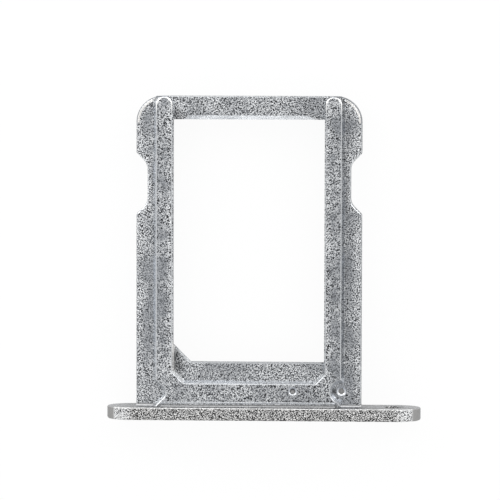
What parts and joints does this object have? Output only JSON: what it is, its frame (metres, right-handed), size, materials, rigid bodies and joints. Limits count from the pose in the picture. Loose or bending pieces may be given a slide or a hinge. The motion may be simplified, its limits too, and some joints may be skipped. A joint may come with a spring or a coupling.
{
  "type": "sim card tray",
  "caption": "One-piece metal tray for a nano card: an open frame with a raised rib and spring notches, ending in a long round-ended door with an eject hole.",
  "frame": {"origin": "under the middle of the outline, at the level of the door's lower edge", "axes": "+Y from the door to the far end that enters the slot, +X towards the end of the door that has the eject hole, +Z out of the side with the raised rib; the card lies in the -Z side"},
  "size_m": [0.015, 0.0154, 0.0023],
  "materials": {
    "tray_metal": "fine-blasted silver metal with a bright speckle and bright edges"
  },
  "bodies": {
    "root": {"tray": "tray_metal"}
  },
  "joints": []
}
